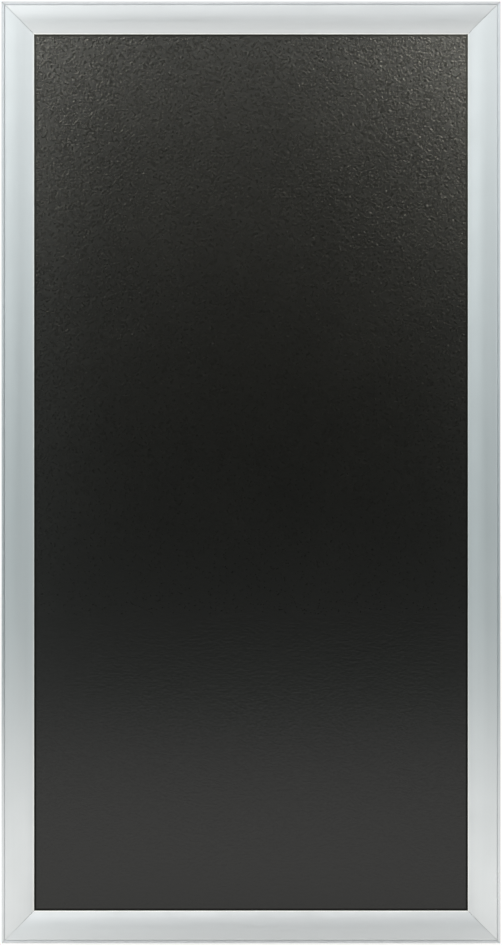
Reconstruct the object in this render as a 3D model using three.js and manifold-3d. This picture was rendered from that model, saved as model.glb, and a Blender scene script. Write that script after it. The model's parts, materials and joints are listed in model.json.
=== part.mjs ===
// A tall chalkboard in a snap frame. Four mitred aluminium base rails are keyed together at the
// corners and carry a backing panel, a core and a black writing sheet. Four covers hinge open along
// the outer edges of the frame, and leaf springs hold them shut on the board or swung open.
// Millimetres, +Z up. The front faces -Y, the wall plane is Y = 0, and the origin is the middle of the
// top rail's back face, where the frame hangs on the wall.

import * as THREE from "three";
import { mergeVertices } from "three/addons/utils/BufferGeometryUtils.js";
import Module from "manifold-3d";

const wasm = await Module();
wasm.setup();

// The board and the sheets behind it
const BOARD_WIDTH = 600;
const BOARD_HEIGHT = 1200;
const CHALK_SHEET = 0.9;
const CORE_THICKNESS = 5;
const BACK_PANEL = 2;
const GLUE_LINE = 0.1;
const SHEET_GAP = 0.2;

// The two extrusions, seen in section
const FACE_WIDTH = 44;
const LIP_OVERLAP = 6;
const BASE_WALL = 1.6;
const BACK_FLANGE = 1.6;
const FLANGE_SETBACK = 1.5;
const COVER_WALL = 1.4;
const ARC_STEPS = 12;
const ROUND_SIDES = 20;
const HEXAGON_SIDES = 6;

// The hinge: a bead along the base rail's outer wall, and a claw on the cover that wraps round it
const BEAD_RADIUS = 2.8;
const HINGE_CLEARANCE = 0.3;
const CLAW_WALL = 1.5;
const SEAM_ANGLE = 50;
const FILLET_ANGLE = 25;
const HINGE_RISE = 3;
const CLAW_RELIEF = 0.4;

// The cover's arched face
const CROWN_RISE = 5.2;
const APEX_INSET = 17;
const SHOULDER_RADIUS = 1.4;
const OUTER_ARCH_RADIUS = 110;
const LIP_GAP = 0.3;
const LIP_HEIGHT = 2;
const LIP_WIDTH = 2.2;
const LIP_ROUND = 1.2;
const LIP_FOOT_ROUND = 0.4;

// The ribs inside the base rail
const SPRING_RIB_INSET = 13;
const RIB_WALL = 1.4;
const SPRING_LIP = 2.6;
const SPRING_LIP_WALL = 1;
const KEY_LIP = 2.6;
const KEY_LIP_WALL = 1.2;
const STOP_GAP = 0.6;
const STOP_DROP = 1.5;

// The mitred ends
const BASE_MITRE_GAP = 0.25;
const COVER_MITRE_GAP = 0.25;

// The corner keys and their grub screws
const KEY_THICKNESS = 2.8;
const KEY_GAP = 0.3;
const KEY_ARM = 90;
const SCREW_REACH = 62;
const SCREW_RADIUS = 2.4;
const SCREW_CLEARANCE = 0.3;
const SCREW_STAND = 1.2;
const SCREW_CHAMFER = 0.6;
const SOCKET_RADIUS = 1.3;
const SOCKET_DEPTH = 2.2;

// The leaf springs
const LEAF_THICKNESS = 0.5;
const LEAF_WIDTH = 30;
const LEAF_GAP = 0.3;
const NOSE_GAP = 0.1;
const NOSE_ANGLE = -10;
const NOSE_CURL = 1.3;
const FLAT_DEPTH = 0.25;
const LEAF_BEND = 1.6;

// The wall-screw holes
const WALL_HOLE_RADIUS = 2.6;
const DRILL_REACH = 6;
const WALL_HOLE_END_INSET = 130;

// Heights of the stack above the wall plane
const BACK_FRONT = BACK_FLANGE + SHEET_GAP + BACK_PANEL;
const CORE_FRONT = BACK_FRONT + SHEET_GAP + CORE_THICKNESS;
const BOARD_FRONT = CORE_FRONT + GLUE_LINE + CHALK_SHEET;
const LIP_BOTTOM = BOARD_FRONT + LIP_GAP;
const HINGE_HEIGHT = LIP_BOTTOM + HINGE_RISE;
const CROWN_HEIGHT = HINGE_HEIGHT + CROWN_RISE;

// Sizes that follow from the ones above
const FRAME_WIDTH = BOARD_WIDTH + 2 * (FACE_WIDTH - LIP_OVERLAP);
const FRAME_HEIGHT = BOARD_HEIGHT + 2 * (FACE_WIDTH - LIP_OVERLAP);
const CLAW_INNER = BEAD_RADIUS + HINGE_CLEARANCE;
const CLAW_OUTER = CLAW_INNER + CLAW_WALL;
const STOP_INNER = FACE_WIDTH - LIP_OVERLAP - STOP_GAP;
const STOP_OUTER = STOP_INNER - RIB_WALL;
const HANG_INSET = (FACE_WIDTH - FLANGE_SETBACK) / 2;
const KEY_LIP_BOTTOM = BACK_FLANGE + KEY_GAP + KEY_THICKNESS + KEY_GAP;
const KEY_LIP_TOP = KEY_LIP_BOTTOM + KEY_LIP_WALL;
const KEY_OUTER_EDGE = SPRING_RIB_INSET + RIB_WALL + KEY_GAP;
const KEY_INNER_EDGE = STOP_OUTER - KEY_GAP;
const CHANNEL_MIDDLE = (KEY_OUTER_EDGE + KEY_INNER_EDGE) / 2;
const LEAF_LIP_BOTTOM = BACK_FLANGE + LEAF_GAP + LEAF_THICKNESS + LEAF_GAP;

const radians = THREE.MathUtils.degToRad;

// Finishes
const anodised = new THREE.MeshStandardMaterial({ color: 0xc9d1d3, roughness: 0.3, metalness: 1 });
const millFinish = new THREE.MeshStandardMaterial({ color: 0xbfc5c7, roughness: 0.4, metalness: 1 });
const blackLaminate = new THREE.MeshStandardMaterial({ color: 0x23221f, roughness: 0.55, metalness: 0 });
const fibreboard = new THREE.MeshStandardMaterial({ color: 0x6b4f38, roughness: 0.9, metalness: 0 });
const backingPlastic = new THREE.MeshStandardMaterial({ color: 0xe4e4e0, roughness: 0.6, metalness: 0 });
const zincPlate = new THREE.MeshStandardMaterial({ color: 0xa9abaa, roughness: 0.45, metalness: 1 });
const springSteel = new THREE.MeshStandardMaterial({ color: 0x8d9094, roughness: 0.3, metalness: 1 });
const blackSteel = new THREE.MeshStandardMaterial({ color: 0x2b2b2d, roughness: 0.5, metalness: 1 });

function solidOf(geometry) {
  const bare = geometry.clone();
  bare.deleteAttribute("normal");
  bare.deleteAttribute("uv");
  const merged = mergeVertices(bare);
  const vertProperties = merged.getAttribute("position").array;
  const triVerts = new Uint32Array(merged.index.array);
  return new wasm.Manifold(new wasm.Mesh({ numProp: 3, vertProperties, triVerts }));
}

function geometryOf(solid) {
  const mesh = solid.getMesh();
  const geometry = new THREE.BufferGeometry();
  geometry.setAttribute("position", new THREE.BufferAttribute(new Float32Array(mesh.vertProperties), 3));
  geometry.setIndex(new THREE.BufferAttribute(new Uint32Array(mesh.triVerts), 1));
  geometry.computeVertexNormals();
  return geometry;
}

function cutAway(geometry, cutters) {
  const left = cutters.reduce((solid, cutter) => solid.subtract(solidOf(cutter)), solidOf(geometry));
  return geometryOf(left);
}

function boxBetween(low, high) {
  const box = new THREE.BoxGeometry(high[0] - low[0], high[1] - low[1], high[2] - low[2]);
  return box.translate((low[0] + high[0]) / 2, (low[1] + high[1]) / 2, (low[2] + high[2]) / 2);
}

// Sections are drawn with x inwards from the frame's outer face and y forwards from the wall.
function onCircle(radius, degrees) {
  const angle = radians(degrees);
  return [BEAD_RADIUS + radius * Math.cos(angle), HINGE_HEIGHT + radius * Math.sin(angle)];
}

// The base rail: outer wall with its hinge bead, back flange, spring rib and board stop
function baseSection() {
  const flangeEdge = 2 * HANG_INSET;
  const stopTop = BOARD_FRONT - STOP_DROP;
  const leafLipTop = LEAF_LIP_BOTTOM + SPRING_LIP_WALL;
  const ribInner = SPRING_RIB_INSET + RIB_WALL;
  const neck = BEAD_RADIUS - BASE_WALL;
  const neckAngle = -Math.PI / 2 - Math.asin(neck / BEAD_RADIUS);
  const section = new THREE.Shape();
  section.moveTo(0, 0);
  section.lineTo(flangeEdge, 0);
  section.lineTo(flangeEdge, BACK_FLANGE);
  section.lineTo(STOP_INNER, BACK_FLANGE);
  section.lineTo(STOP_INNER, stopTop);
  section.lineTo(STOP_OUTER, stopTop);
  section.lineTo(STOP_OUTER, KEY_LIP_TOP);
  section.lineTo(STOP_OUTER - KEY_LIP, KEY_LIP_TOP);
  section.lineTo(STOP_OUTER - KEY_LIP, KEY_LIP_BOTTOM);
  section.lineTo(STOP_OUTER, KEY_LIP_BOTTOM);
  section.lineTo(STOP_OUTER, BACK_FLANGE);
  section.lineTo(ribInner, BACK_FLANGE);
  section.lineTo(ribInner, KEY_LIP_BOTTOM);
  section.lineTo(ribInner + KEY_LIP, KEY_LIP_BOTTOM);
  section.lineTo(ribInner + KEY_LIP, KEY_LIP_TOP);
  section.lineTo(SPRING_RIB_INSET, KEY_LIP_TOP);
  section.lineTo(SPRING_RIB_INSET, leafLipTop);
  section.lineTo(SPRING_RIB_INSET - SPRING_LIP, leafLipTop);
  section.lineTo(SPRING_RIB_INSET - SPRING_LIP, LEAF_LIP_BOTTOM);
  section.lineTo(SPRING_RIB_INSET, LEAF_LIP_BOTTOM);
  section.lineTo(SPRING_RIB_INSET, BACK_FLANGE);
  section.lineTo(BASE_WALL, BACK_FLANGE);
  section.lineTo(BASE_WALL, HINGE_HEIGHT - Math.sqrt(BEAD_RADIUS ** 2 - neck ** 2));
  section.absarc(BEAD_RADIUS, HINGE_HEIGHT, BEAD_RADIUS, neckAngle, Math.PI, false);
  return section;
}

// The cover: a claw round the bead, a shoulder, a two-arc crown and a rounded lip on the board
function coverSection() {
  const tailAngle = -90 - THREE.MathUtils.radToDeg(
    Math.asin((BEAD_RADIUS - BASE_WALL - HINGE_CLEARANCE) / CLAW_OUTER),
  );
  const seamEnd = onCircle(CLAW_INNER, SEAM_ANGLE);
  const shoulderEnd = seamEnd[0] + SHOULDER_RADIUS;
  const outerDrop = (radius, inset) => radius - Math.sqrt(radius ** 2 - (APEX_INSET - inset) ** 2);
  const shoulderTop = CROWN_HEIGHT - outerDrop(OUTER_ARCH_RADIUS, shoulderEnd);
  const lipReach = FACE_WIDTH - LIP_ROUND - APEX_INSET;
  const lipDrop = CROWN_HEIGHT - LIP_BOTTOM - LIP_HEIGHT;
  const innerRadius = (lipReach ** 2 + lipDrop ** 2) / (2 * lipDrop);
  const lipAngle = Math.acos(lipReach / innerRadius);
  const lipBack = FACE_WIDTH - LIP_WIDTH;
  const undersideRadius = innerRadius - COVER_WALL;
  const undersideAngle = Math.acos((lipBack - APEX_INSET) / undersideRadius);
  const fillet = onCircle(CLAW_OUTER, FILLET_ANGLE);
  const outerUnderside = OUTER_ARCH_RADIUS - COVER_WALL;
  const filletTop = CROWN_HEIGHT - COVER_WALL - outerDrop(outerUnderside, fillet[0] + SHOULDER_RADIUS);
  const flatSpread = THREE.MathUtils.radToDeg(Math.acos(1 - FLAT_DEPTH / CLAW_OUTER));
  const angleAt = (radius, inset) => Math.PI / 2 + Math.asin((APEX_INSET - inset) / radius);

  const section = new THREE.Shape();
  section.moveTo(...onCircle(CLAW_INNER, tailAngle));
  section.absarc(BEAD_RADIUS, HINGE_HEIGHT, CLAW_INNER, radians(tailAngle), radians(SEAM_ANGLE), false);
  section.lineTo(seamEnd[0], shoulderTop - SHOULDER_RADIUS);
  section.quadraticCurveTo(seamEnd[0], shoulderTop, shoulderEnd, shoulderTop);
  section.absarc(APEX_INSET, CROWN_HEIGHT - OUTER_ARCH_RADIUS, OUTER_ARCH_RADIUS,
    angleAt(OUTER_ARCH_RADIUS, shoulderEnd), Math.PI / 2, true);
  section.absarc(APEX_INSET, CROWN_HEIGHT - innerRadius, innerRadius, Math.PI / 2, lipAngle, true);
  section.quadraticCurveTo(FACE_WIDTH, LIP_BOTTOM + LIP_HEIGHT - LIP_ROUND * Math.cos(lipAngle),
    FACE_WIDTH, LIP_BOTTOM + LIP_HEIGHT - LIP_ROUND);
  section.lineTo(FACE_WIDTH, LIP_BOTTOM + LIP_FOOT_ROUND);
  section.quadraticCurveTo(FACE_WIDTH, LIP_BOTTOM, FACE_WIDTH - LIP_FOOT_ROUND, LIP_BOTTOM);
  section.lineTo(lipBack, LIP_BOTTOM);
  section.absarc(APEX_INSET, CROWN_HEIGHT - innerRadius, undersideRadius, undersideAngle, Math.PI / 2, false);
  section.absarc(APEX_INSET, CROWN_HEIGHT - OUTER_ARCH_RADIUS, outerUnderside,
    Math.PI / 2, angleAt(outerUnderside, fillet[0] + SHOULDER_RADIUS), false);
  section.quadraticCurveTo(fillet[0], filletTop, ...fillet);
  section.absarc(BEAD_RADIUS, HINGE_HEIGHT, CLAW_OUTER,
    radians(FILLET_ANGLE), radians(NOSE_ANGLE + flatSpread), true);
  section.lineTo(...onCircle(CLAW_OUTER, NOSE_ANGLE - flatSpread));
  section.absarc(BEAD_RADIUS, HINGE_HEIGHT, CLAW_OUTER,
    radians(NOSE_ANGLE - flatSpread), radians(tailAngle), true);
  return section;
}

// The leaf spring: a foot under the spring rib's lip, a riser, and a nose that bears on the claw
function leafSection() {
  const footHeight = BACK_FLANGE + LEAF_GAP + LEAF_THICKNESS / 2;
  const nose = onCircle(CLAW_OUTER + NOSE_GAP + LEAF_THICKNESS / 2, NOSE_ANGLE);
  const riser = nose[0] + NOSE_CURL / 2;
  const line = new THREE.Path();
  line.moveTo(SPRING_RIB_INSET - LEAF_GAP, footHeight);
  line.lineTo(riser + LEAF_BEND / 2, footHeight);
  line.quadraticCurveTo(riser - LEAF_BEND, footHeight, riser - LEAF_BEND, footHeight + 2 * LEAF_BEND);
  line.lineTo(riser, nose[1] - 2 * NOSE_CURL);
  line.quadraticCurveTo(nose[0] + NOSE_CURL, nose[1] - NOSE_CURL, nose[0], nose[1]);
  line.lineTo(nose[0] + NOSE_CURL / 2, nose[1] + NOSE_CURL);
  return ribbon(line.getPoints(ARC_STEPS / 2), LEAF_THICKNESS);
}

// A strip of even thickness that follows a line of points
function ribbon(points, thickness) {
  const line = points.filter((point, i) => i === 0 || point.distanceTo(points[i - 1]) > 1e-6);
  const near = [];
  const far = [];
  line.forEach((point, i) => {
    const along = line[Math.min(i + 1, line.length - 1)].clone().sub(line[Math.max(i - 1, 0)]);
    const across = new THREE.Vector2(-along.y, along.x).setLength(thickness / 2);
    near.push(point.clone().add(across));
    far.unshift(point.clone().sub(across));
  });
  return new THREE.Shape([...near, ...far]);
}

// A rail of the section with both ends cut to 45 degrees: the further in a point lies, the sooner it ends
function mitredRail(section, length, endGap) {
  const rail = new THREE.ExtrudeGeometry(section, {
    depth: 1,
    bevelEnabled: false,
    curveSegments: ARC_STEPS,
  });
  const place = rail.getAttribute("position");
  for (let i = 0; i < place.count; i += 1) {
    const reach = length / 2 - place.getX(i) - endGap;
    place.setZ(i, place.getZ(i) > 0.5 ? reach : -reach);
  }
  return rail;
}

function baseRail(length, holes) {
  const cutters = holes.map((along) => {
    const drill = new THREE.CylinderGeometry(WALL_HOLE_RADIUS, WALL_HOLE_RADIUS, DRILL_REACH, ROUND_SIDES);
    return drill.translate(CHANNEL_MIDDLE, 0, along);
  });
  return cutAway(mitredRail(baseSection(), length, BASE_MITRE_GAP), cutters);
}

// Near its ends the claw is cut away below the hinge line, so that it turns clear of the next rail
function coverRail(length) {
  const sweep = BEAD_RADIUS + CLAW_OUTER + CLAW_RELIEF;
  const end = length / 2;
  const cutters = [
    boxBetween([0, 0, end - sweep], [sweep, HINGE_HEIGHT, end]),
    boxBetween([0, 0, -end], [sweep, HINGE_HEIGHT, sweep - end]),
  ];
  return cutAway(mitredRail(coverSection(), length, COVER_MITRE_GAP), cutters);
}

function leafSpring() {
  const leaf = new THREE.ExtrudeGeometry(leafSection(), { depth: LEAF_WIDTH, bevelEnabled: false });
  return leaf.translate(0, 0, -LEAF_WIDTH / 2);
}

// The corner key: a flat L in the two rails' channels, with a screw hole in each arm
function cornerKey() {
  const plate = new THREE.Shape();
  plate.moveTo(KEY_OUTER_EDGE, KEY_OUTER_EDGE);
  plate.lineTo(KEY_ARM, KEY_OUTER_EDGE);
  plate.lineTo(KEY_ARM, KEY_INNER_EDGE);
  plate.lineTo(KEY_INNER_EDGE, KEY_INNER_EDGE);
  plate.lineTo(KEY_INNER_EDGE, KEY_ARM);
  plate.lineTo(KEY_OUTER_EDGE, KEY_ARM);
  plate.closePath();
  for (const [across, up] of [[SCREW_REACH, CHANNEL_MIDDLE], [CHANNEL_MIDDLE, SCREW_REACH]]) {
    const hole = new THREE.Path();
    hole.absarc(across, up, SCREW_RADIUS + SCREW_CLEARANCE, 0, 2 * Math.PI, true);
    plate.holes.push(hole);
  }
  return new THREE.ExtrudeGeometry(plate, {
    depth: KEY_THICKNESS,
    bevelEnabled: false,
    curveSegments: ARC_STEPS,
  });
}

// The grub screw: a chamfered stud with a hexagon socket in its head
function grubScrew() {
  const height = KEY_GAP + KEY_THICKNESS + SCREW_STAND;
  const outline = [
    [0, 0],
    [SCREW_RADIUS - SCREW_CHAMFER, 0],
    [SCREW_RADIUS, SCREW_CHAMFER],
    [SCREW_RADIUS, height],
    [0, height],
  ].map(([radius, rise]) => new THREE.Vector2(radius, rise));
  const stud = new THREE.LatheGeometry(outline, ROUND_SIDES);
  const socket = new THREE.CylinderGeometry(SOCKET_RADIUS, SOCKET_RADIUS, 2 * SOCKET_DEPTH, HEXAGON_SIDES);
  return cutAway(stud, [socket.translate(0, height, 0)]);
}

// A sheet of the board's width and height, from one height above the wall to another
function sheet(back, front) {
  const across = BOARD_WIDTH / 2;
  const up = BOARD_HEIGHT / 2;
  return boxBetween([-across, -front, -up], [across, -back, up]);
}

function piece(name, geometry, material) {
  const mesh = new THREE.Mesh(geometry, material);
  mesh.name = name;
  return mesh;
}

// Turns a section's frame so that x points in from the side's outer face and y points out of the wall
function intoSide(mesh, reach, along = 0) {
  mesh.rotation.set(Math.PI, -Math.PI / 2, 0, "YXZ");
  mesh.position.set(along, 0, -reach);
  return mesh;
}

const sides = [
  { name: "bottom", turn: 0, reach: FRAME_HEIGHT / 2, length: FRAME_WIDTH, springs: 2, holes: 2 },
  { name: "left", turn: 90, reach: FRAME_WIDTH / 2, length: FRAME_HEIGHT, springs: 4, holes: 3 },
  { name: "top", turn: 180, reach: FRAME_HEIGHT / 2, length: FRAME_WIDTH, springs: 2, holes: 2 },
  { name: "right", turn: 270, reach: FRAME_WIDTH / 2, length: FRAME_HEIGHT, springs: 4, holes: 3 },
];

// Places spread evenly about a rail's middle, from one end place to the other
function spread(count, endPlace) {
  return Array.from({ length: count }, (_, i) => endPlace * ((2 * i) / (count - 1) - 1));
}

function frameSide({ name, turn, reach, length, springs, holes }) {
  const side = new THREE.Group();
  side.rotation.y = radians(turn);
  const wallHoles = spread(holes, length / 2 - WALL_HOLE_END_INSET);
  side.add(intoSide(piece(`base_rail_${name}`, baseRail(length, wallHoles), millFinish), reach));
  side.add(intoSide(piece(`snap_cover_${name}`, coverRail(length), anodised), reach));
  const pitch = length / springs;
  spread(springs, (length - pitch) / 2).forEach((along, i) => {
    const leaf = piece(`leaf_spring_${name}_${i + 1}`, leafSpring(), springSteel);
    side.add(intoSide(leaf, reach, along));
  });
  return side;
}

const corners = [
  { name: "bottom_left", turn: 0, place: [-1, -1] },
  { name: "top_left", turn: 90, place: [-1, 1] },
  { name: "top_right", turn: 180, place: [1, 1] },
  { name: "bottom_right", turn: 270, place: [1, -1] },
];

function frameCorner({ name, turn, place }) {
  const corner = new THREE.Group();
  corner.position.set((place[0] * FRAME_WIDTH) / 2, 0, (place[1] * FRAME_HEIGHT) / 2);
  corner.rotation.y = radians(turn);
  const key = piece(`corner_key_${name}`, cornerKey(), zincPlate);
  key.rotation.x = Math.PI / 2;
  key.position.y = -(BACK_FLANGE + KEY_GAP);
  corner.add(key);
  [[SCREW_REACH, CHANNEL_MIDDLE], [CHANNEL_MIDDLE, SCREW_REACH]].forEach(([across, up], i) => {
    const screw = piece(`grub_screw_${name}_${i + 1}`, grubScrew(), blackSteel);
    screw.rotation.x = Math.PI;
    screw.position.set(across, -(BACK_FLANGE + SCREW_CLEARANCE / 2), up);
    corner.add(screw);
  });
  return corner;
}

const chalkboard = new THREE.Group();
chalkboard.position.z = HANG_INSET - FRAME_HEIGHT / 2;
chalkboard.add(piece("back_panel", sheet(BACK_FRONT - BACK_PANEL, BACK_FRONT), backingPlastic));
chalkboard.add(piece("board_core", sheet(CORE_FRONT - CORE_THICKNESS, CORE_FRONT), fibreboard));
chalkboard.add(piece("writing_sheet", sheet(BOARD_FRONT - CHALK_SHEET, BOARD_FRONT), blackLaminate));
sides.forEach((side) => chalkboard.add(frameSide(side)));
corners.forEach((corner) => chalkboard.add(frameCorner(corner)));

export default chalkboard;
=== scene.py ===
import json
import math

import bmesh
import bpy
from bpy.props import FloatProperty, FloatVectorProperty, IntProperty, PointerProperty
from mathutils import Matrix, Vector


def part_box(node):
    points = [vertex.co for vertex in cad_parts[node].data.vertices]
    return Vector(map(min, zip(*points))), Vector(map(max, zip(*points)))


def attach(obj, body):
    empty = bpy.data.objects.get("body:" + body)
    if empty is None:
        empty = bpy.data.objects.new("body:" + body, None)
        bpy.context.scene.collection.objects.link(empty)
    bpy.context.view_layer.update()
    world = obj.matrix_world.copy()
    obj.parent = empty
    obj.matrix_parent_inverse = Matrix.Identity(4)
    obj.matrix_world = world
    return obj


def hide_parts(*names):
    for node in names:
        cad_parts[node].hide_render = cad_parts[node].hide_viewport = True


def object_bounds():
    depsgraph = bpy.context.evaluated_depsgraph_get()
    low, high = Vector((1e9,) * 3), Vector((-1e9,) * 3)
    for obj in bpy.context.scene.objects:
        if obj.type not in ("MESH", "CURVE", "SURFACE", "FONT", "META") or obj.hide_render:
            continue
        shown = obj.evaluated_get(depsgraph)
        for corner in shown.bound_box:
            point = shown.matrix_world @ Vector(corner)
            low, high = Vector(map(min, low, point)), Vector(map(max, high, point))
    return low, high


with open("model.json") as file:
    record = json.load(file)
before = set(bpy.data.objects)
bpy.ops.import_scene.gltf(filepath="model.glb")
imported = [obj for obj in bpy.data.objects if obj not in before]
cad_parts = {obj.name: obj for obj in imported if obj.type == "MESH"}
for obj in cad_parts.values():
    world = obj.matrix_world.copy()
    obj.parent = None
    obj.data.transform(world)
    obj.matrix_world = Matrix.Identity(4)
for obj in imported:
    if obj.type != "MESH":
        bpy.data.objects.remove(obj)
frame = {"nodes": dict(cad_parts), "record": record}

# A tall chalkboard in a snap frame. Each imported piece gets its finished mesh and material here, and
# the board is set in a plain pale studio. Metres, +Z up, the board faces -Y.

bl_info = {
    "name": "Snap-frame chalkboard",
    "version": (1, 0, 0),
    "blender": (4, 5, 0),
    "location": "View3D > Sidebar > Chalkboard",
    "description": "Finishes the pieces of a chalkboard in a snap frame and sets its studio",
    "category": "Object",
}

CAD_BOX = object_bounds()
SIDES = ("bottom", "left", "top", "right")
BODY_OF = {
    node: body
    for body, nodes in frame["record"]["behaviour"]["bodies"].items()
    for node in nodes
}

MILLIMETRE = 0.001
WELD_DISTANCE = 0.002 * MILLIMETRE
FLAT_ANGLE = math.radians(0.1)
EDGE_ANGLE = math.radians(32)
SMOOTH_ANGLE = math.radians(46)
GRAIN_MAP = "drawing_direction"

# The picture's height, and how much of it the frame fills
PHOTO_HEIGHT_PX = 945
FRAME_HEIGHT_PX = 942.8

# The side softboxes, given for the right one, and the lamp above, in metres from the origin
SOFTBOX_PLACE = Vector((1.0, -1.9, 0.86))
SOFTBOX_AIM = Vector((0.5, 0, 0.05))
SOFTBOX_SIZE = 0.6
SOFTBOX_SPREAD = math.radians(34)
SOFTBOX_COLOUR = (1.0, 0.99, 0.93)
TOP_LAMP_PLACE = Vector((-0.5, -0.5, 1.4))
TOP_LAMP_SIZE = 3.0

# The reflected room: how far it is lit below, above and beside the board's middle, where its wall ends
# towards the board, and the half width of its dark window with the edge that softens it, all in metres
ROOM_BELOW = 0.7
ROOM_ABOVE = 1.7
ROOM_ASIDE = 3.6
ROOM_FRONT = -0.4
WINDOW_HALF = 0.5
WINDOW_END = 1.05

# How bright the room is, as pairs of place and level from 0 to 1: from its left to its right, from low
# to high beside the window, and from low to high in the window
ROOM_ACROSS = (
    (0, 0.42), (0.18, 0.36), (0.29, 0.93), (0.36, 1), (0.44, 0.8), (0.64, 0.4), (0.81, 0.47), (1, 0.5)
)
ROOM_UPWARD = (
    (0, 0.36), (0.13, 0.41), (0.3, 0.53), (0.42, 0.66), (0.57, 0.82), (0.67, 0.92), (0.76, 1), (1, 0.82)
)
WINDOW_UPWARD = (
    (0, 0.2), (0.12, 0.06), (0.25, 0.02), (0.57, 0.02), (0.7, 0.05), (0.8, 0.2), (1, 0.75)
)


def linear(hex_colour):
    """An sRGB hex colour as linear red, green and blue."""
    channels = [int(hex_colour[i : i + 2], 16) / 255 for i in (1, 3, 5)]
    return tuple(c / 12.92 if c <= 0.04045 else ((c + 0.055) / 1.055) ** 2.4 for c in channels)


def colour_setting(name, description, hex_colour):
    return FloatVectorProperty(
        name=name,
        description=description,
        default=linear(hex_colour),
        subtype="COLOR",
        size=3,
        min=0,
        max=1,
    )


def length_setting(name, description, millimetres):
    return FloatProperty(
        name=name,
        description=description,
        default=millimetres * MILLIMETRE,
        unit="LENGTH",
        subtype="DISTANCE",
        min=0,
        precision=5,
    )


def share_setting(name, description, share):
    return FloatProperty(
        name=name, description=description, default=share, subtype="FACTOR", min=0, max=1
    )


def level_setting(name, description, level, unit="NONE"):
    return FloatProperty(name=name, description=description, default=level, unit=unit, min=0)


class ChalkboardEdges(bpy.types.PropertyGroup):
    """How far each kind of piece has its edges broken"""

    extrusion: length_setting("Extrusion edge", "Broken edge on rails and covers", 0.15)
    plate: length_setting("Key edge", "Rounded edge on the corner keys", 0.15)
    leaf: length_setting("Leaf edge", "Rounded edge on the leaf springs", 0.08)
    sheet: length_setting("Sheet edge", "Eased edge on the board and the sheets behind it", 0.15)
    segments: IntProperty(name="Edge steps", description="Faces across a broken edge", default=2, min=1)


class ChalkboardScrew(bpy.types.PropertyGroup):
    """The grub screws in the corner keys"""

    pitch: length_setting("Thread pitch", "Distance from one thread to the next", 0.8)
    depth: length_setting("Thread depth", "Height of the thread", 0.4)
    chamfer: length_setting("Point chamfer", "Chamfer at both ends", 0.6)
    socket: length_setting("Socket radius", "Centre to corner of the hexagon socket", 1.3)
    socket_depth: length_setting("Socket depth", "Depth of the hexagon socket", 2.2)


class ChalkboardMetal(bpy.types.PropertyGroup):
    """The finish of the aluminium extrusions and the steel pieces"""

    anodised: colour_setting("Anodised aluminium", "Colour of the covers", "#dddfe0")
    # The lip colour and the width below are a painted highlight along the covers' rounded lip
    lip_highlight_colour: colour_setting("Lip", "Colour of the covers' rubbed lip", "#fafaf7")
    mill: colour_setting("Mill aluminium", "Colour of the base rails", "#d6d8da")
    zinc: colour_setting("Zinc plate", "Colour of the corner keys", "#b9bdbf")
    spring: colour_setting("Spring steel", "Colour of the leaf springs", "#a3a6a9")
    black: colour_setting("Black oxide", "Colour of the grub screws", "#3a3a3c")
    line_pitch: length_setting("Die line", "Width of the fine lines along an extrusion", 0.6)
    line_length: length_setting("Die line length", "Length over which a line fades", 180)
    # Width of the painted highlight beside the opening
    lip_highlight_width: length_setting("Painted lip", "How far the covers are rubbed bright from the lip", 1.6)


class ChalkboardBoard(bpy.types.PropertyGroup):
    """The finish of the board and the sheets behind it"""

    black: colour_setting("Writing surface", "Colour of the black laminate", "#040403")
    core: colour_setting("Laminate core", "Colour of the kraft core at the laminate's edges", "#2a211b")
    fibre: colour_setting("Fibreboard", "Colour of the hardboard core", "#76583e")
    backing: colour_setting("Backing sheet", "Colour of the plastic back", "#dfdfda")
    grain: length_setting("Pebble size", "Distance between the pebbles of the grain", 3.1)
    relief: length_setting("Pebble height", "Height of the pebbles", 0.6)
    # The margin is painted shade of the lips' shadow: pebbles flattened, clear skin thinned
    margin: length_setting("Smooth margin", "Width pressed smooth beside the covers' lips", 2.4)
    pit: length_setting("Pit size", "Distance between the pits in the clear skin", 2.79)
    skin: share_setting("Skin", "How much of the surface the clear skin covers", 0.55)
    pitting: share_setting("Pitting", "How far the skin's cover varies at the head of the board", 0.68)
    foot_pitting: share_setting("Foot pitting", "How far it varies at the foot", 0.03)
    # Painted shade: the skin left in the margin is thinned so that the band beside the lips is darker
    lip_shade_skin: share_setting("Shaded skin", "Share of the skin left in the smooth margin", 0.15)


class ChalkboardStudio(bpy.types.PropertyGroup):
    """The camera, lamps, floor and reflections"""

    distance: length_setting("Camera distance", "From the camera to the board", 4000)
    floor_drop: length_setting("Floor drop", "From the board's foot down to the floor", 20)
    floor_radius: length_setting("Floor radius", "Size of the floor", 12000)
    floor: colour_setting("Floor", "Colour of the floor", "#f3f3f1")
    room_radius: length_setting("Room radius", "From the board to the room's wall", 3850)
    room_height: length_setting("Room height", "Height of the room's wall", 4500)
    room: colour_setting("Room", "Colour that the metal reflects at eye level", "#e9f9fa")
    ceiling: colour_setting("Upper room", "Colour that the metal reflects from above", "#f6f8f8")
    room_level: level_setting("Room level", "Brightness of the room", 2.9)
    left_power: level_setting("Left power", "Power of the left softbox", 6.8, unit="POWER")
    right_power: level_setting("Right power", "Power of the right softbox", 9.86, unit="POWER")
    top_power: level_setting("Top power", "Power of the lamp above", 42, unit="POWER")
    fill: level_setting("Sky fill", "Level of the plain fill light", 1)


def select_only(piece):
    bpy.ops.object.select_all(action="DESELECT")
    piece.select_set(True)
    bpy.context.view_layer.objects.active = piece


def link_piece(name, mesh):
    piece = bpy.data.objects.new(name, mesh)
    mesh.name = name
    bpy.context.scene.collection.objects.link(piece)
    return piece


def apply_modifier(piece, kind, **settings):
    """Adds a modifier with its settings and applies it."""
    select_only(piece)
    modifier = piece.modifiers.new(kind.lower(), kind)
    for name, value in settings.items():
        setattr(modifier, name, value)
    bpy.ops.object.modifier_apply(modifier=modifier.name)


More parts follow.
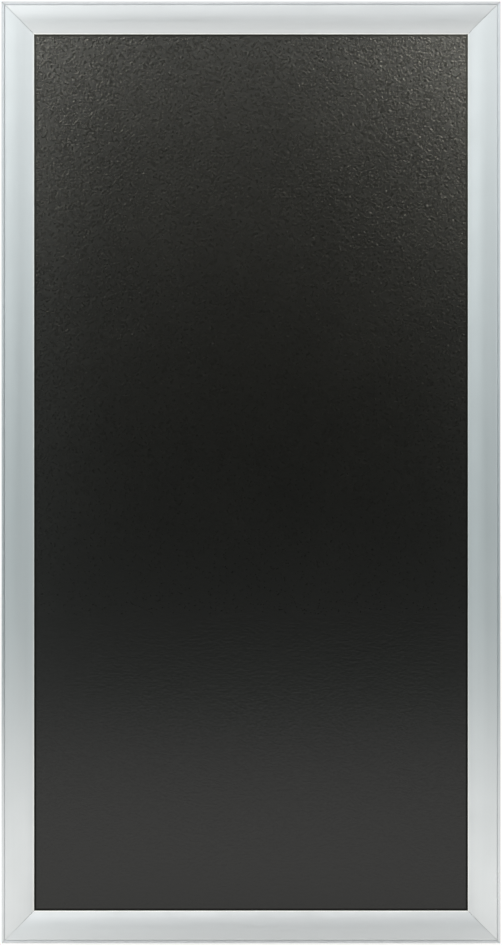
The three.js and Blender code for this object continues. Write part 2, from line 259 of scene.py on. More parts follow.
def mark_drawn_edges(piece, side):
    """Weights the sharp edges that run along a drawn piece, and not those of its sawn ends."""
    along = 2 if side in ("left", "right") else 0
    shape = bmesh.new()
    shape.from_mesh(piece.data)
    weight = shape.edges.layers.float.new("bevel_weight_edge")
    for edge in shape.edges:
        run = edge.verts[1].co - edge.verts[0].co
        if abs(run[along]) > 0.999 * run.length and edge.calc_face_angle() > EDGE_ANGLE:
            edge[weight] = 1
    shape.to_mesh(piece.data)
    shape.free()


def break_edges(piece, width, segments, which="ANGLE"):
    """Rounds the sharp edges a little and shades what is left smooth, with flat faces kept flat."""
    apply_modifier(
        piece,
        "BEVEL",
        width=width,
        segments=segments,
        limit_method=which,
        angle_limit=EDGE_ANGLE,
        use_clamp_overlap=False,
    )
    select_only(piece)
    bpy.ops.object.shade_smooth_by_angle(angle=SMOOTH_ANGLE)
    apply_modifier(piece, "WEIGHTED_NORMAL", keep_sharp=True)


def welded_copy(node, name):
    """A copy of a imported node's solid, with its corners merged and its flat faces made whole."""
    piece = link_piece(name, frame["nodes"][node].data.copy())
    select_only(piece)
    bpy.ops.mesh.customdata_custom_splitnormals_clear()
    bpy.ops.object.mode_set(mode="EDIT")
    bpy.ops.mesh.select_all(action="SELECT")
    bpy.ops.mesh.remove_doubles(threshold=WELD_DISTANCE)
    bpy.ops.mesh.dissolve_limited(angle_limit=FLAT_ANGLE)
    bpy.ops.object.mode_set(mode="OBJECT")
    return piece


def stand_for(piece, node):
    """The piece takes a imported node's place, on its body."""
    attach(piece, BODY_OF[node])
    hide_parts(node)


def nodes_named(start):
    return sorted(node for node in frame["nodes"] if node.startswith(start))


def paint(piece, *materials):
    piece.data.materials.clear()
    for material in materials:
        piece.data.materials.append(material)


def map_drawing_direction(piece, side, shift):
    """Maps a drawn piece with u across and v along it, so that its sheen spreads across the lines."""
    across, along = (0, 2) if side in ("left", "right") else (2, 0)
    layer = piece.data.uv_layers.new(name=GRAIN_MAP)
    for loop in piece.data.loops:
        place = piece.data.vertices[loop.vertex_index].co
        layer.uv[loop.index].vector = (place[across] + 0.37 * place.y + shift, place[along])


def add_node(tree, kind, inputs=None, **settings):
    """Adds a node. An input takes a plain value, or the socket that feeds it."""
    node = tree.nodes.new(kind)
    for name, value in settings.items():
        setattr(node, name, value)
    for key, value in (inputs or {}).items():
        if isinstance(value, bpy.types.NodeSocket):
            tree.links.new(value, node.inputs[key])
        else:
            node.inputs[key].default_value = value
    return node


def new_material(name):
    material = bpy.data.materials.new(name)
    material.use_nodes = True
    material.node_tree.nodes.clear()
    return material


def finish_material(material, **inputs):
    """Ends a material in its surface shader. Names are the shader's sockets, with _ for a space."""
    tree = material.node_tree
    sockets = {name.replace("_", " "): value for name, value in inputs.items()}
    surface = add_node(tree, "ShaderNodeBsdfPrincipled", sockets)
    add_node(tree, "ShaderNodeOutputMaterial", {"Surface": surface.outputs["BSDF"]})
    return material


def rgba(colour, share=1.0):
    return tuple(channel * share for channel in colour) + (1.0,)


def blend_colours(tree, factor, low, high):
    mixed = add_node(
        tree,
        "ShaderNodeMix",
        {"Factor": factor, "A": low, "B": high},
        data_type="RGBA",
    )
    return mixed.outputs["Result"]


def beyond_opening(tree, place):
    """How far a point lies outside the opening between the covers' lips. Below zero on the board."""
    spans = (
        ("X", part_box("snap_cover_left")[1].x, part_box("snap_cover_right")[0].x),
        ("Z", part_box("snap_cover_bottom")[1].z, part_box("snap_cover_top")[0].z),
    )
    axes = add_node(tree, "ShaderNodeSeparateXYZ", {"Vector": place.outputs["Object"]})
    gaps = []
    for axis, low, high in spans:
        centred = add_node(
            tree, "ShaderNodeMath", {0: axes.outputs[axis], 1: (low + high) / 2}, operation="SUBTRACT"
        )
        aside = add_node(tree, "ShaderNodeMath", {0: centred.outputs["Value"]}, operation="ABSOLUTE")
        gap = add_node(
            tree, "ShaderNodeMath", {0: aside.outputs["Value"], 1: (high - low) / 2}, operation="SUBTRACT"
        )
        gaps.append(gap.outputs["Value"])
    widest = add_node(tree, "ShaderNodeMath", {0: gaps[0], 1: gaps[1]}, operation="MAXIMUM")
    return widest.outputs["Value"]


def drawn_metal(name, colour, roughness, sheen_spread, line_height, painted_lip_colour=None):
    """Aluminium drawn through a die: fine lines and broad streaks along it, and faint handling marks.

    With a lip colour, the edge beside the opening gets a painted highlight.
    """
    metal = bpy.context.scene.chalkboard_metal
    material = new_material(name)
    tree = material.node_tree
    drawing = add_node(tree, "ShaderNodeUVMap", uv_map=GRAIN_MAP)
    lines_map = add_node(
        tree,
        "ShaderNodeMapping",
        {"Vector": drawing.outputs["UV"], "Scale": (1 / metal.line_pitch, 1 / metal.line_length, 1)},
    )
    lines = add_node(
        tree,
        "ShaderNodeTexNoise",
        {"Vector": lines_map.outputs["Vector"], "Scale": 1.0, "Detail": 3.0, "Roughness": 0.6},
    )
    streaks_map = add_node(
        tree,
        "ShaderNodeMapping",
        {"Vector": drawing.outputs["UV"], "Scale": (1 / (7 * MILLIMETRE), 1 / (420 * MILLIMETRE), 1)},
    )
    streaks = add_node(
        tree,
        "ShaderNodeTexNoise",
        {"Vector": streaks_map.outputs["Vector"], "Scale": 1.0, "Detail": 2.0},
    )
    place = add_node(tree, "ShaderNodeTexCoord")
    marks = add_node(
        tree,
        "ShaderNodeTexNoise",
        {
            "Vector": place.outputs["Object"],
            "Scale": 1 / (55 * MILLIMETRE),
            "Detail": 4.0,
            "Roughness": 0.65,
        },
    )
    wear_and_lip_shade = add_node(
        tree,
        "ShaderNodeMapRange",
        {"Value": marks.outputs["Fac"], "From Min": 0.3, "From Max": 0.75, "To Min": -0.02, "To Max": 0.04},
    )
    dullness = add_node(
        tree,
        "ShaderNodeMapRange",
        {
            "Value": streaks.outputs["Fac"],
            "From Min": 0.25,
            "From Max": 0.75,
            "To Min": roughness - 0.03,
            "To Max": roughness + 0.03,
        },
    )
    rough = add_node(
        tree,
        "ShaderNodeMath",
        {0: wear_and_lip_shade.outputs["Result"], 1: dullness.outputs["Result"]},
        operation="ADD",
    )
    tone = blend_colours(tree, streaks.outputs["Fac"], rgba(colour, 0.96), rgba(colour, 1.02))
    # Painted highlight: the colour is brightened along the lip, standing in for the light its rounded edge
    # catches
    if painted_lip_colour is not None:
        painted = add_node(
            tree,
            "ShaderNodeMapRange",
            {
                "Value": beyond_opening(tree, place),
                "From Min": metal.lip_highlight_width + 0.4 * MILLIMETRE,
                "From Max": metal.lip_highlight_width - 0.4 * MILLIMETRE,
            },
        )
        tone = blend_colours(tree, painted.outputs["Result"], tone, rgba(painted_lip_colour))
    relief = add_node(
        tree,
        "ShaderNodeBump",
        {"Height": lines.outputs["Fac"], "Strength": 0.5, "Distance": line_height},
    )
    tangent = add_node(tree, "ShaderNodeTangent", direction_type="UV_MAP", uv_map=GRAIN_MAP)
    return finish_material(
        material,
        Base_Color=tone,
        Metallic=1.0,
        Roughness=rough.outputs["Value"],
        Anisotropic=sheen_spread,
        Normal=relief.outputs["Normal"],
        Tangent=tangent.outputs["Tangent"],
    )


def satin_anodised_aluminium():
    # Anodised aluminium, etched satin and left its natural colour: pale, with a long soft sheen.
    # The lip gets a painted highlight
    metal = bpy.context.scene.chalkboard_metal
    return drawn_metal(
        "satin_anodised_aluminium", metal.anodised, 0.36, 0.92, 0.08 * MILLIMETRE, metal.lip_highlight_colour
    )


def mill_finish_aluminium():
    # Aluminium as it leaves the die: greyer and more plainly lined than the covers
    metal = bpy.context.scene.chalkboard_metal
    return drawn_metal("mill_finish_aluminium", metal.mill, 0.3, 0.98, 0.06 * MILLIMETRE)


def pitted_skin(tree, place, whole):
    """How much the clear skin covers: even near the foot, speckled with pits higher up, and cut down beside
    the lips as painted shade.
    """
    board = bpy.context.scene.chalkboard_board
    pits = add_node(
        tree,
        "ShaderNodeTexNoise",
        {"Vector": place.outputs["Object"], "Scale": 1 / board.pit, "Detail": 1.0},
    )
    speckle = add_node(
        tree,
        "ShaderNodeMapRange",
        {"Value": pits.outputs["Fac"], "From Min": 0.3, "From Max": 0.7, "To Min": -0.5, "To Max": 0.5},
    )
    foot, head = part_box("writing_sheet")
    axes = add_node(tree, "ShaderNodeSeparateXYZ", {"Vector": place.outputs["Object"]})
    pitting = add_node(
        tree,
        "ShaderNodeMapRange",
        {
            "Value": axes.outputs["Z"],
            "From Min": foot.z,
            "From Max": head.z,
            "To Min": board.foot_pitting,
            "To Max": board.pitting,
        },
        interpolation_type="SMOOTHSTEP",
    )
    pitted = add_node(
        tree,
        "ShaderNodeMath",
        {0: speckle.outputs["Result"], 1: pitting.outputs["Result"], 2: board.skin},
        operation="MULTIPLY_ADD",
    )
    # Painted shade: the skin is cut down beside the lips, where their shadow falls
    wear_and_lip_shade = add_node(
        tree,
        "ShaderNodeMapRange",
        {"Value": whole, "To Min": board.lip_shade_skin, "To Max": 1.0},
    )
    skin = add_node(
        tree,
        "ShaderNodeMath",
        {0: pitted.outputs["Value"], 1: wear_and_lip_shade.outputs["Result"]},
        operation="MULTIPLY",
    )
    return skin.outputs["Value"]


def black_writing_laminate():
    # High-pressure laminate: near black, with a pebbled layer that sparkles under a raking light,
    # below a clear melamine skin. The skin is smooth and even near the foot and finely pitted higher
    # up. Beside the covers' lips the pebbles are flattened and the clear skin is thinned: painted
    # shade, a darker band where the lips cast their shadow. The real grain is finer than a pixel of
    # the picture and is drawn as coarse as it has to be to show
    board = bpy.context.scene.chalkboard_board
    material = new_material("black_writing_laminate")
    tree = material.node_tree
    place = add_node(tree, "ShaderNodeTexCoord")
    pebbles = add_node(
        tree,
        "ShaderNodeTexNoise",
        {"Vector": place.outputs["Object"], "Scale": 1 / board.grain, "Detail": 1.0, "Roughness": 0.5},
    )
    wipes = add_node(
        tree,
        "ShaderNodeTexNoise",
        {"Vector": place.outputs["Object"], "Scale": 1 / 0.16, "Detail": 3.0, "Roughness": 0.6},
    )
    tone = blend_colours(tree, wipes.outputs["Fac"], rgba(board.black, 0.9), rgba(board.black, 1.15))
    rough = add_node(
        tree,
        "ShaderNodeMapRange",
        {"Value": wipes.outputs["Fac"], "From Min": 0.3, "From Max": 0.7, "To Min": 0.28, "To Max": 0.32},
    )
    # Painted shade mask: 0 in the band beside the lips, where their shadow is painted in
    whole = add_node(
        tree,
        "ShaderNodeMapRange",
        {
            "Value": beyond_opening(tree, place),
            "From Min": -board.margin,
            "From Max": -board.margin - 0.5 * MILLIMETRE,
        },
    )
    relief = add_node(
        tree,
        "ShaderNodeBump",
        {
            "Height": pebbles.outputs["Fac"],
            "Strength": whole.outputs["Result"],
            "Distance": board.relief,
        },
    )
    return finish_material(
        material,
        Base_Color=tone,
        Roughness=rough.outputs["Result"],
        Specular_Tint=(1.0, 0.98, 0.88, 1.0),
        IOR=1.2,
        Coat_Weight=pitted_skin(tree, place, whole.outputs["Result"]),
        Coat_Roughness=0.16,
        Coat_IOR=1.64,
        Normal=relief.outputs["Normal"],
    )


def kraft_laminate_core():
    # The sawn edge of the laminate: dark brown kraft layers
    board = bpy.context.scene.chalkboard_board
    material = new_material("kraft_laminate_core")
    tree = material.node_tree
    place = add_node(tree, "ShaderNodeTexCoord")
    layers = add_node(
        tree,
        "ShaderNodeTexNoise",
        {"Vector": place.outputs["Object"], "Scale": 1 / (0.8 * MILLIMETRE), "Detail": 3.0},
    )
    tone = blend_colours(tree, layers.outputs["Fac"], rgba(board.core, 0.75), rgba(board.core, 1.25))
    return finish_material(material, Base_Color=tone, Roughness=0.7)


def hardboard():
    # Pressed wood fibre: brown, matt, with short flecks
    board = bpy.context.scene.chalkboard_board
    material = new_material("hardboard")
    tree = material.node_tree
    place = add_node(tree, "ShaderNodeTexCoord")
    fibres = add_node(
        tree,
        "ShaderNodeTexNoise",
        {
            "Vector": place.outputs["Object"],
            "Scale": 1 / (1.5 * MILLIMETRE),
            "Detail": 5.0,
            "Roughness": 0.7,
        },
    )
    tone = blend_colours(tree, fibres.outputs["Fac"], rgba(board.fibre, 0.7), rgba(board.fibre, 1.25))
    relief = add_node(
        tree,
        "ShaderNodeBump",
        {"Height": fibres.outputs["Fac"], "Strength": 0.6, "Distance": 0.05 * MILLIMETRE},
    )
    return finish_material(material, Base_Color=tone, Roughness=0.85, Normal=relief.outputs["Normal"])


def styrene_sheet():
    # Extruded polystyrene sheet: off-white, faintly glossy, with light rub marks
    board = bpy.context.scene.chalkboard_board
    material = new_material("styrene_sheet")
    tree = material.node_tree
    place = add_node(tree, "ShaderNodeTexCoord")
    cloud = add_node(
        tree,
        "ShaderNodeTexNoise",
        {"Vector": place.outputs["Object"], "Scale": 1 / 0.09, "Detail": 4.0, "Roughness": 0.6},
    )
    tooth = add_node(
        tree,
        "ShaderNodeTexNoise",
        {"Vector": place.outputs["Object"], "Scale": 1 / (1.8 * MILLIMETRE), "Detail": 2.0},
    )
    tone = blend_colours(tree, cloud.outputs["Fac"], rgba(board.backing, 0.92), rgba(board.backing, 1.03))
    rough = add_node(
        tree,
        "ShaderNodeMapRange",
        {"Value": cloud.outputs["Fac"], "From Min": 0.3, "From Max": 0.7, "To Min": 0.42, "To Max": 0.58},
    )
    relief = add_node(
        tree,
        "ShaderNodeBump",
        {"Height": tooth.outputs["Fac"], "Strength": 0.4, "Distance": 0.03 * MILLIMETRE},
    )
    return finish_material(
        material,
        Base_Color=tone,
        Roughness=rough.outputs["Result"],
        Normal=relief.outputs["Normal"],
    )


def plain_steel(name, colour, roughness, cloud_size, relief_height):
    """A steel finish that clouds gently from place to place."""
    material = new_material(name)
    tree = material.node_tree
    place = add_node(tree, "ShaderNodeTexCoord")
    cloud = add_node(
        tree,
        "ShaderNodeTexNoise",
        {"Vector": place.outputs["Object"], "Scale": 1 / cloud_size, "Detail": 4.0, "Roughness": 0.6},
    )
    tone = blend_colours(tree, cloud.outputs["Fac"], rgba(colour, 0.82), rgba(colour, 1.1))
    rough = add_node(
        tree,
        "ShaderNodeMapRange",
        {
            "Value": cloud.outputs["Fac"],
            "From Min": 0.3,
            "From Max": 0.7,
            "To Min": roughness - 0.06,
            "To Max": roughness + 0.06,
        },
    )
    relief = add_node(
        tree,
        "ShaderNodeBump",
        {"Height": cloud.outputs["Fac"], "Strength": 0.5, "Distance": relief_height},
    )
    return finish_material(
        material,
        Base_Color=tone,
        Metallic=1.0,
        Roughness=rough.outputs["Result"],
        Normal=relief.outputs["Normal"],
    )


def zinc_plated_steel():
    # Bright zinc on pressed steel: pale blue-grey with soft clouds
    metal = bpy.context.scene.chalkboard_metal
    return plain_steel("zinc_plated_steel", metal.zinc, 0.36, 4 * MILLIMETRE, 0.02 * MILLIMETRE)


def spring_steel():
    # Hardened strip: mid grey and fairly bright
    metal = bpy.context.scene.chalkboard_metal
    return plain_steel("spring_steel", metal.spring, 0.3, 2.5 * MILLIMETRE, 0.01 * MILLIMETRE)


def black_oxide_steel():
    # Oiled black oxide: nearly black with a dull metal sheen
    metal = bpy.context.scene.chalkboard_metal
    return plain_steel("black_oxide_steel", metal.black, 0.42, 1.2 * MILLIMETRE, 0.01 * MILLIMETRE)


class CHALKBOARD_OT_base_rails(bpy.types.Operator):
    """Finish the four base rails"""

    bl_idname = "chalkboard.base_rails"
    bl_label = "Base Rails"

    def execute(self, context):
        edges = context.scene.chalkboard_edges
        metal = mill_finish_aluminium()
        for i, side in enumerate(SIDES):
            rail = welded_copy(f"base_rail_{side}", f"mill_rail_{side}")
            break_edges(rail, edges.extrusion, edges.segments)
            map_drawing_direction(rail, side, i)
            paint(rail, metal)
            stand_for(rail, f"base_rail_{side}")
        return {"FINISHED"}


class CHALKBOARD_OT_snap_covers(bpy.types.Operator):
    """Finish the four hinged covers"""

    bl_idname = "chalkboard.snap_covers"
    bl_label = "Snap Covers"

    def execute(self, context):
        edges = context.scene.chalkboard_edges
        metal = satin_anodised_aluminium()
        for i, side in enumerate(SIDES):
            cover = welded_copy(f"snap_cover_{side}", f"anodised_cover_{side}")
            mark_drawn_edges(cover, side)
            break_edges(cover, edges.extrusion, edges.segments, which="WEIGHT")
            map_drawing_direction(cover, side, i)
            paint(cover, metal)
            stand_for(cover, f"snap_cover_{side}")
        return {"FINISHED"}


class CHALKBOARD_OT_leaf_springs(bpy.types.Operator):
    """Finish the leaf springs behind the covers"""

    bl_idname = "chalkboard.leaf_springs"
    bl_label = "Leaf Springs"

    def execute(self, context):
        edges = context.scene.chalkboard_edges
        steel = spring_steel()
        for node in nodes_named("leaf_spring"):
            leaf = welded_copy(node, node.replace("leaf_spring", "steel_leaf"))
            break_edges(leaf, edges.leaf, edges.segments)
            paint(leaf, steel)
            stand_for(leaf, node)
        return {"FINISHED"}


class CHALKBOARD_OT_corner_keys(bpy.types.Operator):
    """Finish the corner keys"""

    bl_idname = "chalkboard.corner_keys"
    bl_label = "Corner Keys"

    def execute(self, context):
        edges = context.scene.chalkboard_edges
        steel = zinc_plated_steel()
        for node in nodes_named("corner_key"):
            key = welded_copy(node, node.replace("corner_key", "zinc_key"))
            break_edges(key, edges.plate, edges.segments)
            paint(key, steel)
            stand_for(key, node)
        return {"FINISHED"}


class CHALKBOARD_OT_grub_screws(bpy.types.Operator):
    """Cut one threaded grub screw and copy it to each of its places"""

    bl_idname = "chalkboard.grub_screws"
    bl_label = "Grub Screws"

    def execute(self, context):
        steel = black_oxide_steel()
        nodes = nodes_named("grub_screw")
        low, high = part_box(nodes[0])
        first = self.threaded_screw(context, (high.x - low.x) / 2, high.y - low.y)
        for node in nodes:
            low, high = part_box(node)
            screw = link_piece(node.replace("grub_screw", "black_screw"), first.data.copy())
            screw.location = (low + high) / 2
            select_only(screw)
            bpy.ops.object.transform_apply(location=True, rotation=False, scale=False)
            paint(screw, steel)
            stand_for(screw, node)
        bpy.data.objects.remove(first)
        return {"FINISHED"}

    def threaded_screw(self, context, radius, height):
        """A screw about the Y axis with its socket towards -Y, centred on the origin."""
        sizes = context.scene.chalkboard_screw
        around, steps_per_pitch = 24, 8
        steps = round(height / sizes.pitch * steps_per_pitch)
        bpy.ops.object.select_all(action="DESELECT")
        bpy.ops.mesh.primitive_cylinder_add(vertices=around, radius=radius, depth=height)
        screw = context.active_object
        bpy.ops.object.mode_set(mode="EDIT")
        bpy.ops.mesh.select_mode(type="EDGE")
        bpy.ops.mesh.select_all(action="DESELECT")
        bpy.ops.object.mode_set(mode="OBJECT")
        for edge in screw.data.edges:
            ends = [screw.data.vertices[v].co.z for v in edge.vertices]
            edge.select = ends[0] * ends[1] < 0
        bpy.ops.object.mode_set(mode="EDIT")
        bpy.ops.mesh.subdivide(number_cuts=steps - 1)
        bpy.ops.object.mode_set(mode="OBJECT")
        for vertex in screw.data.vertices:
            place = vertex.co
            turn = math.atan2(place.y, place.x) / (2 * math.pi)
            phase = (place.z / sizes.pitch - turn) % 1
            groove = sizes.depth * (1 - abs(2 * phase - 1))
            end_gap = height / 2 - abs(place.z)
            chamfer = max(0, sizes.chamfer - end_gap)
            share = (radius - max(groove, chamfer)) / radius
            vertex.co = (place.x * share, place.y * share, place.z)
        bpy.ops.mesh.primitive_cylinder_add(
            vertices=6,
            radius=sizes.socket,
            depth=2 * sizes.socket_depth,
            location=(0, 0, height / 2),
        )
        socket = context.active_object
        apply_modifier(screw, "BOOLEAN", operation="DIFFERENCE", object=socket, solver="EXACT")
        bpy.data.objects.remove(socket)
        select_only(screw)
        screw.rotation_euler = (math.pi / 2, 0, 0)
        bpy.ops.object.transform_apply(location=False, rotation=True, scale=False)
        bpy.ops.object.shade_smooth_by_angle(angle=SMOOTH_ANGLE)
        return screw


def box_sheet(name, node, edge, segments):
    """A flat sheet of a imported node's size and place, with eased edges."""
    low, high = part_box(node)
    bpy.ops.object.select_all(action="DESELECT")
    bpy.ops.mesh.primitive_cube_add(size=1, location=(low + high) / 2, scale=high - low)
    sheet = bpy.context.active_object
    sheet.name = name
    sheet.data.name = name
    bpy.ops.object.transform_apply(location=True, rotation=False, scale=True)
    break_edges(sheet, edge, segments)
    return sheet


class CHALKBOARD_OT_writing_sheet(bpy.types.Operator):
    """Make the black writing laminate, with its brown core at the edges"""

    bl_idname = "chalkboard.writing_sheet"
    bl_label = "Writing Sheet"

    def execute(self, context):
        edges = context.scene.chalkboard_edges
        sheet = box_sheet("writing_laminate", "writing_sheet", edges.sheet, edges.segments)
        paint(sheet, black_writing_laminate(), kraft_laminate_core())
        for face in sheet.data.polygons:
            face.material_index = 0 if face.normal.y < -0.5 else 1
        stand_for(sheet, "writing_sheet")
        return {"FINISHED"}


class CHALKBOARD_OT_board_core(bpy.types.Operator):
    """Make the hardboard core behind the writing sheet"""

    bl_idname = "chalkboard.board_core"
    bl_label = "Board Core"

    def execute(self, context):
        edges = context.scene.chalkboard_edges
        core = box_sheet("hardboard_core", "board_core", edges.sheet, edges.segments)
        paint(core, hardboard())
        stand_for(core, "board_core")
        return {"FINISHED"}


class CHALKBOARD_OT_back_panel(bpy.types.Operator):
    """Make the plastic backing sheet"""

    bl_idname = "chalkboard.back_panel"
    bl_label = "Back Panel"

    def execute(self, context):
        edges = context.scene.chalkboard_edges
        panel = box_sheet("backing_sheet", "back_panel", edges.sheet, edges.segments)
        paint(panel, styrene_sheet())
        stand_for(panel, "back_panel")
        return {"FINISHED"}


class CHALKBOARD_OT_studio(bpy.types.Operator):
    """Set the camera, lamps, floor and the room that the metal reflects"""

    bl_idname = "chalkboard.studio"
    bl_label = "Studio"

    def execute(self, context):
        studio = context.scene.chalkboard_studio
        low, high = CAD_BOX
        middle = (low + high) / 2
        self.camera(context, studio, Vector((middle.x, low.y, middle.z)), high.z - low.z)
        self.floor(context, studio, low.z - studio.floor_drop)
        self.room(context, studio, middle, low.z - studio.floor_drop)
        self.lamps(studio)
        self.sky(context, studio)
        context.scene.view_settings.view_transform = "Standard"
        return {"FINISHED"}

    def lamps(self, studio):
        """Two softboxes that rake the writing surface alone, and one above for all the rest."""
        board_light = bpy.data.collections.new("board_light")
        board_light.objects.link(bpy.data.objects["writing_laminate"])
        for side, way, power in (("left", -1, studio.left_power), ("right", 1, studio.right_power)):
            place = Vector((way * SOFTBOX_PLACE.x, SOFTBOX_PLACE.y, SOFTBOX_PLACE.z))
            aim = Vector((way * SOFTBOX_AIM.x, SOFTBOX_AIM.y, SOFTBOX_AIM.z))
            lamp = self.softbox(power, SOFTBOX_SIZE, place, aim)
            lamp.name = f"softbox_{side}"
            lamp.data.spread = SOFTBOX_SPREAD
            lamp.data.color = SOFTBOX_COLOUR
            lamp.light_linking.receiver_collection = board_light
        below = Vector((TOP_LAMP_PLACE.x, TOP_LAMP_PLACE.y, 0))
        above = self.softbox(studio.top_power, TOP_LAMP_SIZE, TOP_LAMP_PLACE, below)
        above.name = "softbox_above"
        above.visible_glossy = False

    def camera(self, context, studio, target, frame_height):
        """A long lens straight in front, framed as the photograph is."""
        picture_height = frame_height * PHOTO_HEIGHT_PX / FRAME_HEIGHT_PX
        place = target - Vector((0, studio.distance, 0))
        bpy.ops.object.camera_add(location=place, rotation=(math.pi / 2, 0, 0))
        camera = context.active_object
        camera.data.lens = camera.data.sensor_width * studio.distance / picture_height
        context.scene.camera = camera

    def floor(self, context, studio, height):
        """A plain pale floor."""
        bpy.ops.object.select_all(action="DESELECT")
        bpy.ops.mesh.primitive_circle_add(
            vertices=96, radius=studio.floor_radius, fill_type="NGON", location=(0, 0, height)
        )
        floor = context.active_object
        floor.name = "studio_floor"
        material = new_material("pale_floor_paper")
        tree = material.node_tree
        paper = add_node(
            tree, "ShaderNodeBsdfPrincipled", {"Base Color": rgba(studio.floor), "Roughness": 0.8}
        )
        white = add_node(tree, "ShaderNodeEmission", {"Color": (1, 1, 1, 1), "Strength": 1.0})
        rays = add_node(tree, "ShaderNodeLightPath")
        lift = add_node(
            tree, "ShaderNodeMath", {0: rays.outputs["Is Camera Ray"], 1: 0.5}, operation="MULTIPLY"
        )
        shown = add_node(
            tree,
            "ShaderNodeMixShader",
            {0: lift.outputs["Value"], 1: paper.outputs["BSDF"], 2: white.outputs["Emission"]},
        )
        add_node(tree, "ShaderNodeOutputMaterial", {"Surface": shown.outputs["Shader"]})
        paint(floor, material)

    def room(self, context, studio, middle, foot):
        """A curved wall in front of the board, seen only in reflections."""
        bpy.ops.object.select_all(action="DESELECT")
        bpy.ops.mesh.primitive_cylinder_add(
            vertices=96,
            radius=studio.room_radius,
            depth=studio.room_height,
            end_fill_type="NOTHING",
            location=(middle.x, 0, foot + studio.room_height / 2),
        )
        wall = context.active_object
        wall.name = "studio_room"
        bpy.ops.object.transform_apply(location=True, rotation=False, scale=False)
        bpy.ops.object.mode_set(mode="EDIT")
        bpy.ops.mesh.select_all(action="SELECT")
        bpy.ops.mesh.bisect(plane_co=(0, ROOM_FRONT, 0), plane_no=(0, 1, 0), clear_outer=True)
        bpy.ops.object.mode_set(mode="OBJECT")
        material = new_material("room_light")
        tree = material.node_tree
        place = add_node(tree, "ShaderNodeTexCoord")
        axes = add_node(tree, "ShaderNodeSeparateXYZ", {"Vector": place.outputs["Object"]})
        rise = add_node(
            tree,
            "ShaderNodeMapRange",
            {
                "Value": axes.outputs["Z"],
                "From Min": middle.z - ROOM_BELOW,
                "From Max": middle.z + ROOM_ABOVE,
            },
        )
        tone = blend_colours(tree, rise.outputs["Result"], rgba(studio.room), rgba(studio.ceiling))
        sideways = add_node(
            tree,
            "ShaderNodeMapRange",
            {"Value": axes.outputs["X"], "From Min": -ROOM_ASIDE, "From Max": ROOM_ASIDE},
        )
        across = self.level_curve(tree, sideways, ROOM_ACROSS)
        upward = self.level_curve(tree, rise, ROOM_UPWARD)
        bright = add_node(
            tree,
            "ShaderNodeMath",
            {0: across.outputs["Value"], 1: upward.outputs["Value"]},
            operation="MULTIPLY",
        )
        shade = self.level_curve(tree, rise, WINDOW_UPWARD)
        aside = add_node(tree, "ShaderNodeMath", {0: axes.outputs["X"]}, operation="ABSOLUTE")
        window = add_node(
            tree,
            "ShaderNodeMapRange",
            {"Value": aside.outputs["Value"], "From Min": WINDOW_HALF, "From Max": WINDOW_END},
            interpolation_type="SMOOTHSTEP",
        )
        level = add_node(
            tree,
            "ShaderNodeMix",
            {"Factor": window.outputs["Result"], "A": shade.outputs["Value"], "B": bright.outputs["Value"]},
        )
        strength = add_node(
            tree,
            "ShaderNodeMath",
            {0: level.outputs["Result"], 1: studio.room_level},
            operation="MULTIPLY",
        )
        light = add_node(
            tree, "ShaderNodeEmission", {"Color": tone, "Strength": strength.outputs["Value"]}
        )
        add_node(tree, "ShaderNodeOutputMaterial", {"Surface": light.outputs["Emission"]})
        material.cycles.emission_sampling = "NONE"
        paint(wall, material)
        wall.visible_camera = False
        wall.visible_diffuse = False
        wall.visible_shadow = False

    def level_curve(self, tree, source, points):
        """A level that follows smooth points from 0 to 1."""
        curve = add_node(tree, "ShaderNodeFloatCurve", {"Value": source.outputs["Result"]})
        track = curve.mapping.curves[0].points
        track[0].location = points[0]
        track[1].location = points[-1]
        for point in points[1:-1]:
            track.new(*point)
        curve.mapping.update()
        return curve

    def softbox(self, power, size, place, aim):
        """A square soft lamp, not seen by the camera."""
        bpy.ops.object.light_add(type="AREA", location=place)
        lamp = bpy.context.active_object
        lamp.data.shape = "SQUARE"
        lamp.data.size = size
        lamp.data.energy = power
        lamp.rotation_euler = (aim - place).to_track_quat("-Z", "Y").to_euler()
        lamp.visible_camera = False
        return lamp

    def sky(self, context, studio):
        """White behind the board, and a plain fill light from all round."""
        world = bpy.data.worlds.new("studio_sky")
        world.use_nodes = True
        tree = world.node_tree
        tree.nodes.clear()
        rays = add_node(tree, "ShaderNodeLightPath")
        seen = add_node(
            tree,
            "ShaderNodeMath",
            {0: rays.outputs["Is Camera Ray"], 1: rays.outputs["Is Glossy Ray"]},
            operation="MAXIMUM",
        )
        shown = add_node(
            tree,
            "ShaderNodeMath",
            {0: seen.outputs["Value"], 1: rays.outputs["Is Transmission Ray"]},
            operation="MAXIMUM",
        )
        fill = (studio.fill, studio.fill, studio.fill, 1.0)
        colour = blend_colours(tree, shown.outputs["Value"], fill, (1.0, 1.0, 1.0, 1.0))
        light = add_node(tree, "ShaderNodeBackground", {"Color": colour, "Strength": 1.0})
        add_node(tree, "ShaderNodeOutputWorld", {"Surface": light.outputs["Background"]})
        context.scene.world = world


# The studio comes last, because its side lamps are linked to the writing laminate
MAKERS = (
    CHALKBOARD_OT_base_rails,
    CHALKBOARD_OT_snap_covers,
    CHALKBOARD_OT_writing_sheet,
    CHALKBOARD_OT_board_core,
    CHALKBOARD_OT_back_panel,
    CHALKBOARD_OT_leaf_springs,
    CHALKBOARD_OT_corner_keys,
    CHALKBOARD_OT_grub_screws,
    CHALKBOARD_OT_studio,
)


class VIEW3D_PT_chalkboard(bpy.types.Panel):
    """Makes each group of pieces and the studio"""

    bl_label = "Chalkboard"
    bl_space_type = "VIEW_3D"
    bl_region_type = "UI"
    bl_category = "Chalkboard"

    def draw(self, context):
        for maker in MAKERS:
            self.layout.operator(maker.bl_idname)


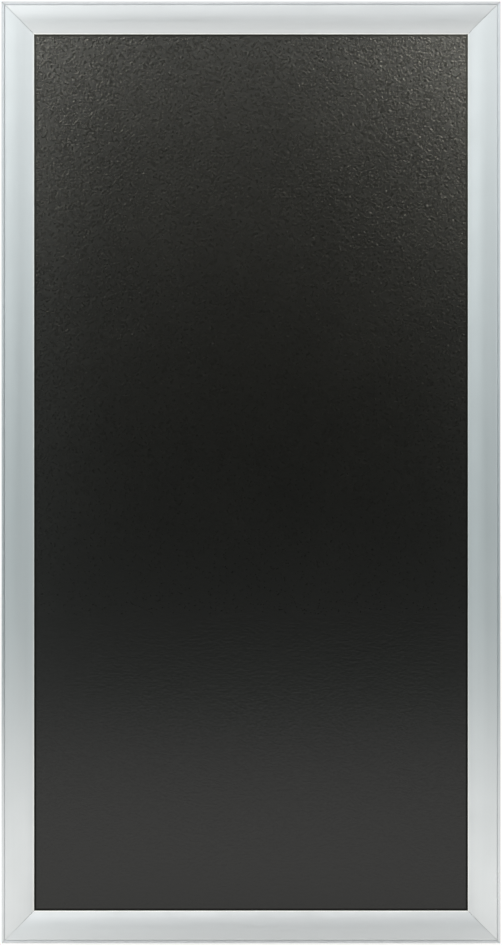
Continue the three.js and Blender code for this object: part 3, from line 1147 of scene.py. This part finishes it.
SETTINGS = {
    "chalkboard_edges": ChalkboardEdges,
    "chalkboard_screw": ChalkboardScrew,
    "chalkboard_metal": ChalkboardMetal,
    "chalkboard_board": ChalkboardBoard,
    "chalkboard_studio": ChalkboardStudio,
}
CLASSES = (*SETTINGS.values(), *MAKERS, VIEW3D_PT_chalkboard)


def register():
    for cls in CLASSES:
        bpy.utils.register_class(cls)
    for name, group in SETTINGS.items():
        setattr(bpy.types.Scene, name, PointerProperty(type=group))


def unregister():
    for name in SETTINGS:
        delattr(bpy.types.Scene, name)
    for cls in reversed(CLASSES):
        bpy.utils.unregister_class(cls)


def main():
    register()
    for maker in MAKERS:
        area, name = maker.bl_idname.split(".")
        getattr(getattr(bpy.ops, area), name)()


if __name__ == "__main__":
    main()
